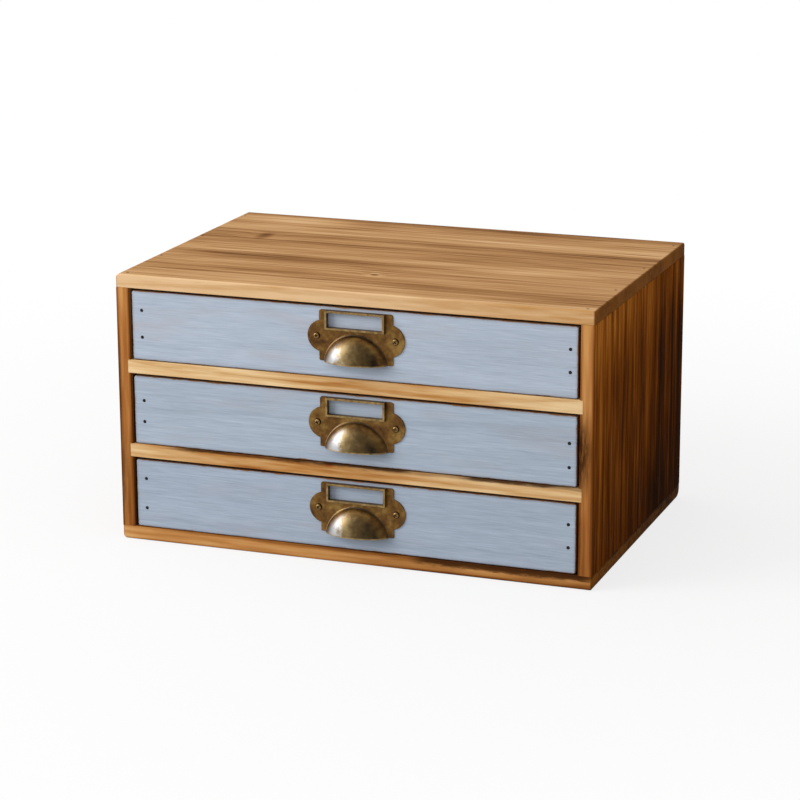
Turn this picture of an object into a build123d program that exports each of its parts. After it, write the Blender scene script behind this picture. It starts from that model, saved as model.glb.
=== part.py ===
from build123d import *
import math
import os

# Desktop mini drawers: a nailed pine case with three sliding drawers.
# Millimetres. The origin is the centre of the footprint, on the surface that it stands on.
# +X is to the right of someone facing the drawers, -Y comes out of the drawers, +Z is up.

# ---- Case ----
CASE_WIDTH = 360.0
CASE_DEPTH = 240.0
CASE_HEIGHT = 200.0
BOARD = 10.0              # top, bottom and side boards
SHELF = 10.0              # shelves between the drawers
DADO_DEPTH = 2.0          # how far a shelf is let into each side
BACK_THICK = 4.0          # plywood back
BACK_REBATE = 5.0         # width of the step in each side that takes the back
FRONT_ROUND = 1.2         # round the front faces of the top and bottom boards
REAR_ROUND = 2.0          # upper rear edge of the top board
LEFT_END_ROUND = 3.0      # outer edge of their left ends, which are worn more
RIGHT_END_ROUND = 1.4     # outer edge of their right ends
REAR_FOOT_ROUND = 7.0     # lower rear edge of the bottom board
EDGE_EASE = 0.5           # sanded edges everywhere else
GLUE_GAP = 0.05           # glue line round a board in its dado, rebate or groove

# ---- Drawers, from the bottom one up ----
DRAWERS = ("bottom", "middle", "top")
FRONT_THICK = 10.0
FRONT_RECESS = 1.0        # front face behind the case's front edge
FRONT_SIDE_GAP = 1.9      # each side, between the drawer and the case
FRONT_TOP_GAP = 1.8
FRONT_BOTTOM_GAP = 0.45
FRONT_CORNER = 2.0        # rounded corners of the painted front
FRONT_EASE = 0.8          # its rubbed front edge
DRAWER_BOARD = 10.0       # drawer sides and back
DRAWER_SIDE_HEIGHT = 44.0
RUN_GAP = 0.2             # running clearance under the drawer sides
BACK_GAP = 1.0            # behind a closed drawer
FLOOR_THICK = 3.0         # plywood floor
FLOOR_UP = 4.0            # height of the floor above the drawer sides' lower edge
GROOVE_DEPTH = 4.0

# ---- Nails and pins ----
NAIL_SHANK = 1.6
NAIL_HEAD = 2.5
NAIL_HEAD_THICK = 0.6
NAIL_LENGTH = 28.0
NAIL_SET = 0.2            # how far a head is punched below the wood
PIN_SHANK = 1.2
PIN_HEAD = 2.2
PIN_LENGTH = 11.0
HOLE_GAP = 0.05           # around every shank and head
CASE_NAIL_FRONT = 6.5     # first case nail, from the front edge
CASE_NAIL_REAR = 14.0     # last case nail, from the back edge
CASE_NAIL_SHARES = (0.0, 0.28, 0.62, 1.0)     # hand set, along the run between those two
CASE_NAIL_INS = (7.0, 5.0, 5.0, 5.0)          # and how far in from the case's side
SIDE_PINS = 4             # back panel pins up each side
SHELF_PINS = 3            # back panel pins into each shelf
PIN_END = 20.0            # from a pin row's ends to the case corner
LEFT_NAIL_IN = 7.7        # drawer front nails, from the front's left end
RIGHT_NAIL_IN = 5.6       # and from its right end
# Front nails up the front's height, as shares of it: left pair, then right pair.
FRONT_NAIL_SHARES = {
    "bottom": ((0.72, 0.28), (0.70, 0.37)),
    "middle": ((0.64, 0.33), (0.61, 0.27)),
    "top": ((0.72, 0.33), (0.68, 0.36)),
}
BACK_NAIL_LENGTH = 22.0
BACK_NAIL_IN = 10.0       # back nails, from the back board's lower and upper edges
FLOOR_PINS = 3

# ---- Cup pull: plate, label frame and cup stamped in one ----
PULL_OFF_CENTRE = 5.6     # the pulls sit a little right of the middle
PULL_DOWN = 2.2           # plate top below the drawer front's top edge
PLATE_THICK = 1.0
PLATE_WIDTH = 55.6
PLATE_HEIGHT = 37.0
EAR_ROUND = 2.0           # upper corners
FOOT_ROUND = 1.0          # lower corners
LOBE_RADIUS = 11.6
LOBE_OUT = 25.0           # lobe centres from the pull's middle
LOBE_DOWN = 19.2          # lobe and screw centres below the plate top
PLATE_EASE = 0.25         # rubbed front edges of the plate and the label frame
FRAME_WIDTH = 44.8
FRAME_HEIGHT = 13.8
FRAME_WALL = 1.5
FRAME_PROUD = 3.5         # label frame in front of the plate
CARD_REBATE = 0.6         # step behind the frame, where a label lies
CARD_LIP = 0.7            # how far the frame laps over the label's edge
CUP_HALF_WIDTH = 24.2     # outside, at the rim
CUP_HEIGHT = 20.6         # outside, from the rim to the top
CUP_REACH = 12.5          # outside, from the plate's back to the rim's front
CUP_WALL = 1.0
CUP_BLEND = 0.8           # small curve where the cup rises from the plate

# ---- Pull screws ----
SCREW_PITCH = 59.3
SCREW_SHANK = 2.4
SCREW_LENGTH = 8.5        # under the head
SCREW_TIP = 2.0
SCREW_HEAD = 5.2
SCREW_HEAD_HEIGHT = 1.6
RECESS_LENGTH = 2.8
RECESS_WIDTH = 0.7
RECESS_DEPTH = 0.9

# ---- Places worked out from the sizes above ----
HALF_WIDTH = CASE_WIDTH / 2
HALF_DEPTH = CASE_DEPTH / 2
INNER_HALF = HALF_WIDTH - BOARD
SIDE_HEIGHT = CASE_HEIGHT - 2 * BOARD
OPENING_HEIGHT = (SIDE_HEIGHT - (len(DRAWERS) - 1) * SHELF) / len(DRAWERS)
BACK_FACE = HALF_DEPTH - BACK_THICK
SHELF_REAR = BACK_FACE - GLUE_GAP
FRONT_FACE = -HALF_DEPTH + FRONT_RECESS
FRONT_INNER = FRONT_FACE + FRONT_THICK
DRAWER_REAR = BACK_FACE - BACK_GAP
DRAWER_HALF = INNER_HALF - FRONT_SIDE_GAP
DRAWER_INNER = DRAWER_HALF - DRAWER_BOARD
FRONT_HEIGHT = OPENING_HEIGHT - FRONT_TOP_GAP - FRONT_BOTTOM_GAP
SIDES = (("left", -1), ("right", 1))


def block(x_span, y_span, z_span):
    """A box between two places along each axis."""
    size = [abs(b - a) for a, b in (x_span, y_span, z_span)]
    middle = [(a + b) / 2 for a, b in (x_span, y_span, z_span)]
    return Pos(*middle) * Box(*size)


def opening_floor(level):
    """Height of the board that a drawer runs on: level 0 is the bottom drawer."""
    return BOARD + level * (OPENING_HEIGHT + SHELF)


def spread(first, last, count):
    """Evenly spaced places from first to last, both included."""
    step = (last - first) / (count - 1)
    return [first + step * i for i in range(count)]


def nail(length, shank, head, head_thick):
    """A flat-headed nail: the head's top is at z = 0 and the point is down at -length."""
    tip = shank
    half = [
        (0, 0),
        (head / 2, 0),
        (head / 2, -head_thick),
        (shank / 2, -head_thick),
        (shank / 2, tip - length),
        (0, -length),
    ]
    return revolve(Plane.XZ * make_face(Polyline(*half, close=True)), Axis.Z)


def nail_hole(length, shank, head, head_thick, above):
    """The hole that the same nail leaves, open upwards as far as above."""
    bore = Cylinder(shank / 2 + HOLE_GAP, length + HOLE_GAP, align=(Align.CENTER, Align.CENTER, Align.MAX))
    seat_height = head_thick + HOLE_GAP + above
    seat = Cylinder(head / 2 + HOLE_GAP, seat_height, align=(Align.CENTER, Align.CENTER, Align.MIN))
    return bore + Pos(0, 0, -head_thick - HOLE_GAP) * seat


CASE_NAIL = (NAIL_LENGTH, NAIL_SHANK, NAIL_HEAD, NAIL_HEAD_THICK)
BACK_NAIL = (BACK_NAIL_LENGTH, NAIL_SHANK, NAIL_HEAD, NAIL_HEAD_THICK)
PIN = (PIN_LENGTH, PIN_SHANK, PIN_HEAD, NAIL_HEAD_THICK)


def drive(place, into, kind):
    """A nail of that kind driven at a place on a face, in the direction into, with its hole."""
    at = Plane(origin=place, z_dir=-Vector(*into))
    sunk = at * Pos(0, 0, -NAIL_SET)
    return sunk * nail(*kind), sunk * nail_hole(*kind, above=NAIL_SET + 1)


def drive_all(places, into, kind):
    """Nails of one kind driven the same way, and their holes."""
    driven = [drive(place, into, kind) for place in places]
    return [piece for piece, _ in driven], [hole for _, hole in driven]


def cut(piece, holes):
    """The piece without the holes that reach it."""
    for hole in holes:
        piece = piece - hole
    return piece


# ---- Where the case nails go ----
def case_nail_places(height):
    first = -HALF_DEPTH + CASE_NAIL_FRONT
    run = CASE_DEPTH - CASE_NAIL_FRONT - CASE_NAIL_REAR
    places = []
    for _, side in SIDES:
        for share, x_in in zip(CASE_NAIL_SHARES, CASE_NAIL_INS):
            places.append((side * (HALF_WIDTH - x_in), first + share * run, height))
    return places


def back_pin_places():
    places = []
    for _, side in SIDES:
        for z in spread(PIN_END, CASE_HEIGHT - PIN_END, SIDE_PINS):
            places.append((side * (INNER_HALF + BACK_REBATE / 2), HALF_DEPTH, z))
    for level in range(1, len(DRAWERS)):
        for x in spread(-INNER_HALF + PIN_END, INNER_HALF - PIN_END, SHELF_PINS):
            places.append((x, HALF_DEPTH, opening_floor(level) - SHELF / 2))
    return places


# ---- Case boards ----
def rounded_board(bottom, outer_up, rear_round):
    """A full-size board: its outer face is worn round on all sides, most on the left end."""
    board = block((-HALF_WIDTH, HALF_WIDTH), (-HALF_DEPTH, HALF_DEPTH), (bottom, bottom + BOARD))
    outer, inner = (-1, 0) if outer_up else (0, -1)
    rear_edge = board.edges().filter_by(Axis.X).group_by(Axis.Z)[outer].sort_by(Axis.Y)[-1]
    board = fillet(rear_edge, rear_round)
    for at, radius in ((0, LEFT_END_ROUND), (-1, RIGHT_END_ROUND)):
        end_face = board.faces().sort_by(Axis.X)[at]
        board = fillet(end_face.edges().filter_by(Axis.Y).sort_by(Axis.Z)[outer], radius)
    front_edge = board.edges().filter_by(Axis.X).group_by(Axis.Y)[0].sort_by(Axis.Z)[outer]
    board = fillet(front_edge, FRONT_ROUND)
    return fillet(board.faces().sort_by(Axis.Z)[inner].edges(), EDGE_EASE)


def side_board(side, holes):
    """One side: dadoes for the shelves, and a step at the back for the back panel."""
    inner = side * INNER_HALF
    outer = side * HALF_WIDTH
    board = block((inner, outer), (-HALF_DEPTH, HALF_DEPTH), (BOARD, CASE_HEIGHT - BOARD))
    uprights = board.edges().filter_by(Axis.Z)
    board = fillet(uprights, EDGE_EASE)
    dado = inner + side * DADO_DEPTH
    for level in range(1, len(DRAWERS)):
        top = opening_floor(level)
        board -= block((inner - side, dado), (-HALF_DEPTH - 1, SHELF_REAR + GLUE_GAP),
                       (top - SHELF - GLUE_GAP, top + GLUE_GAP))
    board -= block((inner - side, inner + side * BACK_REBATE), (BACK_FACE, HALF_DEPTH + 1),
                   (BOARD - 1, CASE_HEIGHT))
    return cut(board, holes)


def shelf(level, holes):
    """The shelf that a drawer runs on, its ends in the sides' dadoes."""
    top = opening_floor(level)
    reach = INNER_HALF + DADO_DEPTH - GLUE_GAP
    board = block((-reach, reach), (-HALF_DEPTH, SHELF_REAR), (top - SHELF, top))
    board = fillet(board.edges().filter_by(Axis.X).group_by(Axis.Y)[0], EDGE_EASE)
    return cut(board, holes)


def back_panel(holes):
    reach = INNER_HALF + BACK_REBATE - GLUE_GAP
    panel = block((-reach, reach), (BACK_FACE, HALF_DEPTH), (BOARD + GLUE_GAP, CASE_HEIGHT - BOARD - GLUE_GAP))
    return cut(panel, holes)


# ---- Drawer pieces, for the drawer that runs on the board at height base ----
def drawer_heights(base):
    """Heights that the drawer's pieces share."""
    low = base + RUN_GAP
    floor_low = low + FLOOR_UP
    return {
        "front": base + FRONT_BOTTOM_GAP,
        "low": low,
        "high": low + DRAWER_SIDE_HEIGHT,
        "floor": floor_low,
        "back": floor_low + FLOOR_THICK + GLUE_GAP,
    }


def floor_groove(at):
    """The space that the floor takes in the front and the sides, with its glue line."""
    reach = DRAWER_INNER + GROOVE_DEPTH
    return block((-reach, reach), (FRONT_INNER - GROOVE_DEPTH, DRAWER_REAR + 1),
                 (at["floor"] - GLUE_GAP, at["floor"] + FLOOR_THICK + GLUE_GAP))


def drawer_front(at, holes):
    board = block((-DRAWER_HALF, DRAWER_HALF), (FRONT_FACE, FRONT_INNER),
                  (at["front"], at["front"] + FRONT_HEIGHT))
    board = fillet(board.edges().filter_by(Axis.Y), FRONT_CORNER)
    board = fillet(board.faces().sort_by(Axis.Y)[0].edges(), FRONT_EASE)
    return cut(board - floor_groove(at), holes)


def drawer_side(side, at, holes):
    board = block((side * DRAWER_INNER, side * DRAWER_HALF), (FRONT_INNER, DRAWER_REAR),
                  (at["low"], at["high"]))
    long_edges = board.edges().filter_by(Axis.Y)
    board = fillet(long_edges, EDGE_EASE)
    return cut(board - floor_groove(at), holes)


def drawer_back(at, holes):
    board = block((-DRAWER_INNER, DRAWER_INNER), (DRAWER_REAR - DRAWER_BOARD, DRAWER_REAR),
                  (at["back"], at["high"]))
    top_edges = board.edges().filter_by(Axis.X).group_by(Axis.Z)[-1]
    return cut(fillet(top_edges, EDGE_EASE), holes)


def drawer_floor(at, holes):
    reach = DRAWER_INNER + GROOVE_DEPTH - GLUE_GAP
    panel = block((-reach, reach), (FRONT_INNER - GROOVE_DEPTH + GLUE_GAP, DRAWER_REAR),
                  (at["floor"], at["floor"] + FLOOR_THICK))
    return cut(panel, holes)


def front_nail_places(name, at):
    left, right = FRONT_NAIL_SHARES[name]
    spots = [(-DRAWER_HALF + LEFT_NAIL_IN, share) for share in left]
    spots += [(DRAWER_HALF - RIGHT_NAIL_IN, share) for share in right]
    return [(x, FRONT_FACE, at["front"] + share * FRONT_HEIGHT) for x, share in spots]


def back_nail_places(side, at):
    y = DRAWER_REAR - DRAWER_BOARD / 2
    heights = (at["back"] + BACK_NAIL_IN, at["high"] - BACK_NAIL_IN)
    return [(side * DRAWER_HALF, y, z) for z in heights]


def floor_pin_places(at):
    y = DRAWER_REAR - DRAWER_BOARD / 2
    return [(x, y, at["floor"]) for x in spread(-DRAWER_INNER + PIN_END, DRAWER_INNER - PIN_END, FLOOR_PINS)]


# ---- Cup pull, drawn with its plate's back at y = 0 and its top edge at z = 0 ----
def lobe_places(pitch):
    return [(side * pitch, -LOBE_DOWN) for _, side in SIDES]


def pull_plate():
    foot = -PLATE_HEIGHT
    outline = Pos(0, foot / 2) * Rectangle(PLATE_WIDTH, PLATE_HEIGHT)
    corners = outline.vertices().group_by(Axis.Y)
    outline = fillet(corners[-1], EAR_ROUND)
    outline = fillet(outline.vertices().group_by(Axis.Y)[0], FOOT_ROUND)
    for x, z in lobe_places(LOBE_OUT):
        outline += Pos(x, z) * Circle(LOBE_RADIUS)
    plate = extrude(Plane.XZ * outline, PLATE_THICK)
    return chamfer(plate.faces().sort_by(Axis.Y)[0].edges(), PLATE_EASE)


def ellipsoid(radius, reach):
    """Half of a flattened ball in front of the plate's back: round from the front, reach deep."""
    profile = EllipticalCenterArc((0, 0), radius, reach, start_angle=270, arc_size=90)
    half = make_face([profile, Line((radius, 0), (0, 0)), Line((0, 0), (0, -reach))])
    return revolve(half, Axis.Y)


def cup_solid(inset):
    """The cup's outside, or its inside when inset by the wall."""
    height = CUP_HEIGHT
    radius = (CUP_HALF_WIDTH ** 2 + height ** 2) / (2 * height)
    drop = radius - height
    reach = CUP_REACH / math.sqrt(1 - (drop / radius) ** 2)
    centre = -PLATE_HEIGHT - drop
    return Pos(0, 0, centre) * ellipsoid(radius - inset, reach - inset)


def cup_pull():
    """Plate, raised label frame and cup, one stamped piece."""
    plate = pull_plate()
    face = -PLATE_THICK
    rim = -PLATE_HEIGHT
    above_rim = block((-PLATE_WIDTH, PLATE_WIDTH), (-2 * CUP_REACH, PLATE_THICK), (rim, 0))
    pull = plate + (cup_solid(0) & above_rim)
    blend = [e for e in pull.edges() if abs(e.center().Y - face) < 0.01 and is_cup_foot(e)]
    pull = fillet(blend, CUP_BLEND)
    half = FRAME_WIDTH / 2
    front = face - FRAME_PROUD
    frame = block((-half, half), (front, 0), (-FRAME_HEIGHT, 0))
    frame = fillet(frame.faces().sort_by(Axis.Y)[0].edges(), PLATE_EASE)
    pull += frame
    inner = half - FRAME_WALL
    pull -= block((-inner, inner), (front - 1, 1), (FRAME_WALL - FRAME_HEIGHT, -FRAME_WALL))
    lap = inner + CARD_LIP
    pull -= block((-lap, lap), (-CARD_REBATE, 1),
                  (FRAME_WALL - CARD_LIP - FRAME_HEIGHT, CARD_LIP - FRAME_WALL))
    pull -= cup_solid(CUP_WALL)
    for x, z in lobe_places(SCREW_PITCH / 2):
        pull -= Pos(x, 0, z) * Rot(90, 0, 0) * Cylinder(SCREW_SHANK / 2 + HOLE_GAP, 3 * PLATE_THICK)
    return pull


def is_cup_foot(edge):
    """True for the edge where the cup's outside meets the plate's face."""
    box = edge.bounding_box()
    return box.size.X > 1.5 * CUP_HALF_WIDTH and box.size.Z > 0.8 * CUP_HEIGHT


def pull_screw():
    """Round-head screw along Y: the head's underside is at y = 0 and the point at +y."""
    half_head = SCREW_HEAD / 2
    ball = (half_head ** 2 + SCREW_HEAD_HEIGHT ** 2) / (2 * SCREW_HEAD_HEIGHT)
    shank = SCREW_SHANK / 2
    outline = [
        Line((0, 0), (half_head, 0)),
        RadiusArc((half_head, 0), (0, SCREW_HEAD_HEIGHT), ball),
        Line((0, SCREW_HEAD_HEIGHT), (0, 0)),
    ]
    head = revolve(Plane.XZ * make_face(outline), Axis.Z)
    body = [(0, 0), (shank, 0), (shank, SCREW_TIP - SCREW_LENGTH), (0, -SCREW_LENGTH)]
    screw = head + revolve(Plane.XZ * make_face(Polyline(*body, close=True)), Axis.Z)
    for turn in (0, 90):
        slot = Box(RECESS_LENGTH, RECESS_WIDTH, 2 * RECESS_DEPTH)
        screw -= Pos(0, 0, SCREW_HEAD_HEIGHT) * Rot(0, 0, turn) * slot
    return Rot(90, 0, 0) * screw


def pull_place(at):
    """From the pull's own drawing to its drawer."""
    top = at["front"] + FRONT_HEIGHT - PULL_DOWN
    return Pos(PULL_OFF_CENTRE, FRONT_FACE, top)


def screw_places(at):
    return [pull_place(at) * Pos(x, -PLATE_THICK, z) for x, z in lobe_places(SCREW_PITCH / 2)]


def screw_hole():
    length = SCREW_LENGTH + 2 * HOLE_GAP + PLATE_THICK
    bore = Cylinder(SCREW_SHANK / 2 + HOLE_GAP, length, align=(Align.CENTER, Align.CENTER, Align.MAX))
    return Rot(90, 0, 0) * Pos(0, 0, PLATE_THICK) * bore


# ---- Putting it together ----
def case_pieces():
    down = (0, 0, -1)
    up = (0, 0, 1)
    top_nails, top_holes = drive_all(case_nail_places(CASE_HEIGHT), down, CASE_NAIL)
    bottom_nails, bottom_holes = drive_all(case_nail_places(0), up, CASE_NAIL)
    pins, pin_holes = drive_all(back_pin_places(), (0, -1, 0), PIN)
    pieces = {
        "top_board": cut(rounded_board(CASE_HEIGHT - BOARD, True, REAR_ROUND), top_holes),
        "bottom_board": cut(rounded_board(0, False, REAR_FOOT_ROUND), bottom_holes),
        "lower_shelf": shelf(1, pin_holes),
        "upper_shelf": shelf(2, pin_holes),
        "back_panel": back_panel(pin_holes),
        "top_nails": Compound(top_nails),
        "bottom_nails": Compound(bottom_nails),
        "back_pins": Compound(pins),
    }
    for name, side in SIDES:
        near = [hole for hole in top_holes + bottom_holes + pin_holes if hole.center().X * side > 0]
        pieces[name + "_side"] = side_board(side, near)
    return pieces


def drawer_pieces(level):
    name = DRAWERS[level]
    at = drawer_heights(opening_floor(level))
    front_nails, front_holes = drive_all(front_nail_places(name, at), (0, 1, 0), CASE_NAIL)
    back_nails, back_holes = [], []
    for _, side in SIDES:
        nails, holes = drive_all(back_nail_places(side, at), (-side, 0, 0), BACK_NAIL)
        back_nails += nails
        back_holes += holes
    pins, pin_holes = drive_all(floor_pin_places(at), (0, 0, 1), PIN)
    screws = [place * pull_screw() for place in screw_places(at)]
    screw_holes = [place * screw_hole() for place in screw_places(at)]
    pieces = {
        "front": drawer_front(at, front_holes + screw_holes),
        "back": drawer_back(at, back_holes + pin_holes),
        "floor": drawer_floor(at, pin_holes),
        "front_nails": Compound(front_nails),
        "back_nails": Compound(back_nails),
        "floor_pins": Compound(pins),
        "cup_pull": pull_place(at) * cup_pull(),
        "pull_screws": Compound(screws),
    }
    for side_name, side in SIDES:
        near = [hole for hole in front_holes + back_holes if hole.center().X * side > 0]
        pieces[side_name + "_side"] = drawer_side(side, at, near)
    return {name + "_drawer_" + part: shape for part, shape in pieces.items()}


def main():
    os.makedirs("parts", exist_ok=True)
    pieces = case_pieces()
    for level in range(len(DRAWERS)):
        pieces.update(drawer_pieces(level))
    for name, shape in pieces.items():
        export_step(shape, "parts/" + name + ".step")
    print(len(pieces), "pieces")


main()
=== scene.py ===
# %% [markdown]
# # Desktop mini drawers
# A small chest for a desk: a torched pine case, three drawers with blue-grey painted fronts, and an
# antique brass cup pull with a label frame on each. The shapes of the boards and the pulls come from
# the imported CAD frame, which stays where it is. This lesson gives each board, front and fitting the
# finish of the real thing, makes the nails and screws anew, sets the camera where the photograph was
# taken from, and lights it softly.

import math

import bpy
from mathutils import Matrix, Vector


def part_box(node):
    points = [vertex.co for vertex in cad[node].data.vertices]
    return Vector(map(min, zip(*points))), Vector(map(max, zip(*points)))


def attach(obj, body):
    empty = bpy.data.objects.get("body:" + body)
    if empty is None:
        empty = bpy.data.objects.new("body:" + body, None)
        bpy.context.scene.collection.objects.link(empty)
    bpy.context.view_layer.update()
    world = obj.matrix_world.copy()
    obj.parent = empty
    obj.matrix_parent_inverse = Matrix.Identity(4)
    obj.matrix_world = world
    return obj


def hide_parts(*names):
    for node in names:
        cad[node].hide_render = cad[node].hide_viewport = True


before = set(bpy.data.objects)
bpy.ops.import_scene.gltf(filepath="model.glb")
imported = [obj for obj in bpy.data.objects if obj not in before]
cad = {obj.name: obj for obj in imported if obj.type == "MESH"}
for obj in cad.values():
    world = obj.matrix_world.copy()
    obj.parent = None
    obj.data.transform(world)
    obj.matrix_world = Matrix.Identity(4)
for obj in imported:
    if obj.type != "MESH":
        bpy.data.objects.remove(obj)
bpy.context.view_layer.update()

# %% [markdown]
# ## The camera
# The photograph looks at the chest from its right and a little above. The seven corners that show give
# the place, the turn and the focal length. One way is to aim a camera by hand in the viewport. Here its
# own axes are built from the two angles and a slight tilt, and go straight into its matrix.

# %% Place the camera
CAMERA_PLACE = Vector((0.69245, -1.88928, 0.63751))
CAMERA_TURN = math.radians(20.285)
CAMERA_RISE = math.radians(15.197)
CAMERA_TILT = math.radians(-0.2306)
LENS = 125.293
SENSOR_WIDTH = 36


def put_in_scene(name, data):
    """A new object of the scene, which holds a mesh, a lamp or a camera."""
    made = bpy.data.objects.new(name, data)
    bpy.context.scene.collection.objects.link(made)
    return made


forward = Vector((-math.sin(CAMERA_TURN) * math.cos(CAMERA_RISE),
                  math.cos(CAMERA_TURN) * math.cos(CAMERA_RISE), -math.sin(CAMERA_RISE)))
level = Vector((math.cos(CAMERA_TURN), math.sin(CAMERA_TURN), 0))
upright = level.cross(forward)
side_axis = level * math.cos(CAMERA_TILT) + upright * math.sin(CAMERA_TILT)
up_axis = upright * math.cos(CAMERA_TILT) - level * math.sin(CAMERA_TILT)

camera = put_in_scene("camera", bpy.data.cameras.new("camera"))
camera.data.lens = LENS
camera.data.sensor_width = SENSOR_WIDTH
camera.data.clip_start = 0.05
camera.matrix_world = Matrix((side_axis, up_axis, -forward)).transposed().to_4x4()
camera.location = CAMERA_PLACE
bpy.context.scene.camera = camera
bpy.context.scene.view_settings.view_transform = "Standard"
print("the camera is", round(CAMERA_PLACE.length, 2), "m from the chest")

# %% [markdown]
# ## A bench for node trees
# Finishes and fastenings are trees of nodes. Clicking them together by hand is the usual way, and it
# teaches what each node does. In a script, a small bench with one short call per node keeps a recipe
# readable. Patterns are measured in metres on the object's own coordinates, so a ring in the wood that
# is 6 mm wide here is 6 mm wide on the chest.

# %% Bench of node helpers
def colour(red, green, blue):
    """A colour as a screen shows it, 0 to 255, turned into the linear values that Blender mixes."""
    shares = [v / 255 for v in (red, green, blue)]
    return (*[v / 12.92 if v <= 0.04045 else ((v + 0.055) / 1.055) ** 2.4 for v in shares], 1.0)


def grey(light):
    """A grey of a linear lightness, from 0 for black to 1 for white."""
    return (light, light, light, 1)


class Bench:
    """A node tree, with short calls that add a node and give back its output."""

    def __init__(self, tree):
        self.tree = tree
        self.tree.nodes.clear()

    def add(self, kind, inputs, **settings):
        """A node. Each of its inputs gets a link from another node, or a plain value."""
        made = self.tree.nodes.new(kind)
        for key, value in settings.items():
            setattr(made, key, value)
        for key, value in inputs.items():
            if isinstance(value, bpy.types.NodeSocket):
                self.tree.links.new(value, made.inputs[key])
            else:
                made.inputs[key].default_value = value
        return made

    def sum(self, operation, a, b=0.0, c=0.0):
        return self.add("ShaderNodeMath", {0: a, 1: b, 2: c}, operation=operation).outputs[0]

    def times(self, a, b):
        return self.sum("MULTIPLY", a, b)

    def push(self, total, value, by):
        """total, moved up or down by so many times value."""
        return self.sum("MULTIPLY_ADD", value, by, total)

    def vector(self, operation, a, b=(0, 0, 0)):
        return self.add("ShaderNodeVectorMath", {0: a, 1: b}, operation=operation).outputs[0]

    def length(self, a):
        return self.add("ShaderNodeVectorMath", {0: a}, operation="LENGTH").outputs["Value"]

    def split(self, a):
        return list(self.add("ShaderNodeSeparateXYZ", {0: a}).outputs)[:3]

    def join(self, x, y, z):
        return self.add("ShaderNodeCombineXYZ", {0: x, 1: y, 2: z}).outputs[0]

    def step(self, value, low, high, start=0.0, end=1.0):
        """A smooth climb from start to end while value goes from low to high."""
        inputs = {"Value": value, "From Min": low, "From Max": high, "To Min": start, "To Max": end}
        return self.add("ShaderNodeMapRange", inputs, interpolation_type="SMOOTHSTEP").outputs[0]


WHITE = grey(1)
print("bench ready")

# %% [markdown]
# ## Light
# The front is the brightest face, the top comes next and the right side lies in shade. So the main lamp
# stands on the left, in front and above, wide enough for soft shadows, and the room is brighter on the
# left and overhead than on the right. The page behind the chest is plain white. The camera sees it, and
# so does the brass where it mirrors what stands behind the chest.

# %% Light the studio
# Where the room is brightest: left, a little in front, and up.
BRIGHT_SIDE = (-0.62, -0.40, 0.68)


def soft_lamp(name, place, aim, width, height, watts):
    """A rectangular studio lamp that faces a point."""
    lamp = bpy.data.lights.new(name, "AREA")
    lamp.shape = "RECTANGLE"
    lamp.size = width
    lamp.size_y = height
    lamp.energy = watts
    stand = put_in_scene(name, lamp)
    stand.location = place
    stand.rotation_euler = (Vector(aim) - Vector(place)).to_track_quat("-Z", "Y").to_euler()


def light_the_room(dim, bright):
    """An even room, dim on the right and bright on the left, with a white page behind the chest."""
    world = bpy.data.worlds.new("studio")
    world.use_nodes = True
    room = Bench(world.node_tree)
    towards = room.add("ShaderNodeTexCoord", {}).outputs["Generated"]
    left = room.add("ShaderNodeVectorMath", {0: towards, 1: BRIGHT_SIDE}, operation="DOT_PRODUCT")
    strength = room.step(left.outputs["Value"], -0.7, 0.9, dim, bright)
    glow = room.add("ShaderNodeBackground", {"Color": WHITE, "Strength": strength})
    page = room.add("ShaderNodeBackground", {"Color": WHITE, "Strength": 1.0})
    path = room.add("ShaderNodeLightPath", {}).outputs
    mirrored = room.sum("MAXIMUM", path["Is Glossy Ray"], path["Is Transmission Ray"])
    behind = room.step(room.split(towards)[1], 0.1, 0.5)
    seen = room.sum("MAXIMUM", path["Is Camera Ray"], room.times(mirrored, behind))
    both = room.add("ShaderNodeMixShader", {0: seen, 1: glow.outputs[0], 2: page.outputs[0]})
    room.add("ShaderNodeOutputWorld", {"Surface": both.outputs[0]})
    bpy.context.scene.world = world


soft_lamp("main_lamp", place=(-1.9, -1.4, 1.05), aim=(0, 0, 0.1), width=1.4, height=1.3, watts=37)
light_the_room(dim=0.08, bright=0.96)
print("one lamp and the room are lit")

# %% [markdown]
# ## A finish and what it is mixed from
# A finish adds what surfaces need to the bench: soft noise, which is stretched by a different amount
# along each axis, a weighed sum of several noises, a ramp of colours, and soft oval spots for knots and
# scorch marks. It ends in one shader with colour, gloss and a fine bump.

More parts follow.
